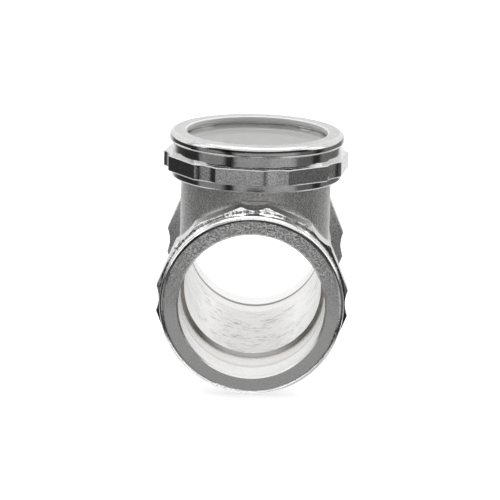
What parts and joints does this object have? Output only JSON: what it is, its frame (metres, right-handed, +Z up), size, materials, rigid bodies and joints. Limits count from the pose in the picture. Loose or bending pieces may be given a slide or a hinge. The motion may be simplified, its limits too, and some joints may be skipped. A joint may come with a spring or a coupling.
{
  "type": "sight glass",
  "caption": "Tee-shaped flow sight glass: straight pipe run with a plain socket and an octagonal spanner collar at each end, and a round window held on the branch by a ring nut with an octagonal spanner band.",
  "frame": {"origin": "on the surface that the fitting stands on, straight under the point where the flow axis crosses the window axis", "axes": "+Z up along the window axis and out through the window, +Y along the flow axis from the inlet to the outlet, +X to the right seen from the inlet"},
  "size_m": [0.0614, 0.097, 0.0781],
  "materials": {
    "plated_brass_body": "nickel-plated: shot-blasted casting skin on the branch, turned and bright on the collars, end rings and bore",
    "plated_brass_nut": "nickel-plated, turned and polished",
    "window_glass": "clear toughened flat pane",
    "seal_rubber": "matt off-white flat silicone seal",
    "slip_ring_plastic": "smooth white low-friction plastic"
  },
  "bodies": {
    "fitting": {"body": "plated_brass_body", "window_seal": "seal_rubber", "window_glass": "window_glass"},
    "slip_ring": {"slip_ring": "slip_ring_plastic"},
    "ring_nut": {"ring_nut": "plated_brass_nut"}
  },
  "joints": [
    {"name": "nut_rise", "type": "slide", "parent": "fitting", "child": "slip_ring", "axis": [0, 0, 1], "range_m": [0, 0.006]},
    {"name": "nut_turn", "type": "hinge", "parent": "slip_ring", "child": "ring_nut", "pos_m": [0, 0, 0.07], "axis": [0, 0, 1], "range_deg": [0, 1440]}
  ],
  "couplings": [
    {"joint": "nut_rise", "follows": "nut_turn", "m_per_rad": 0.00023873}
  ]
}
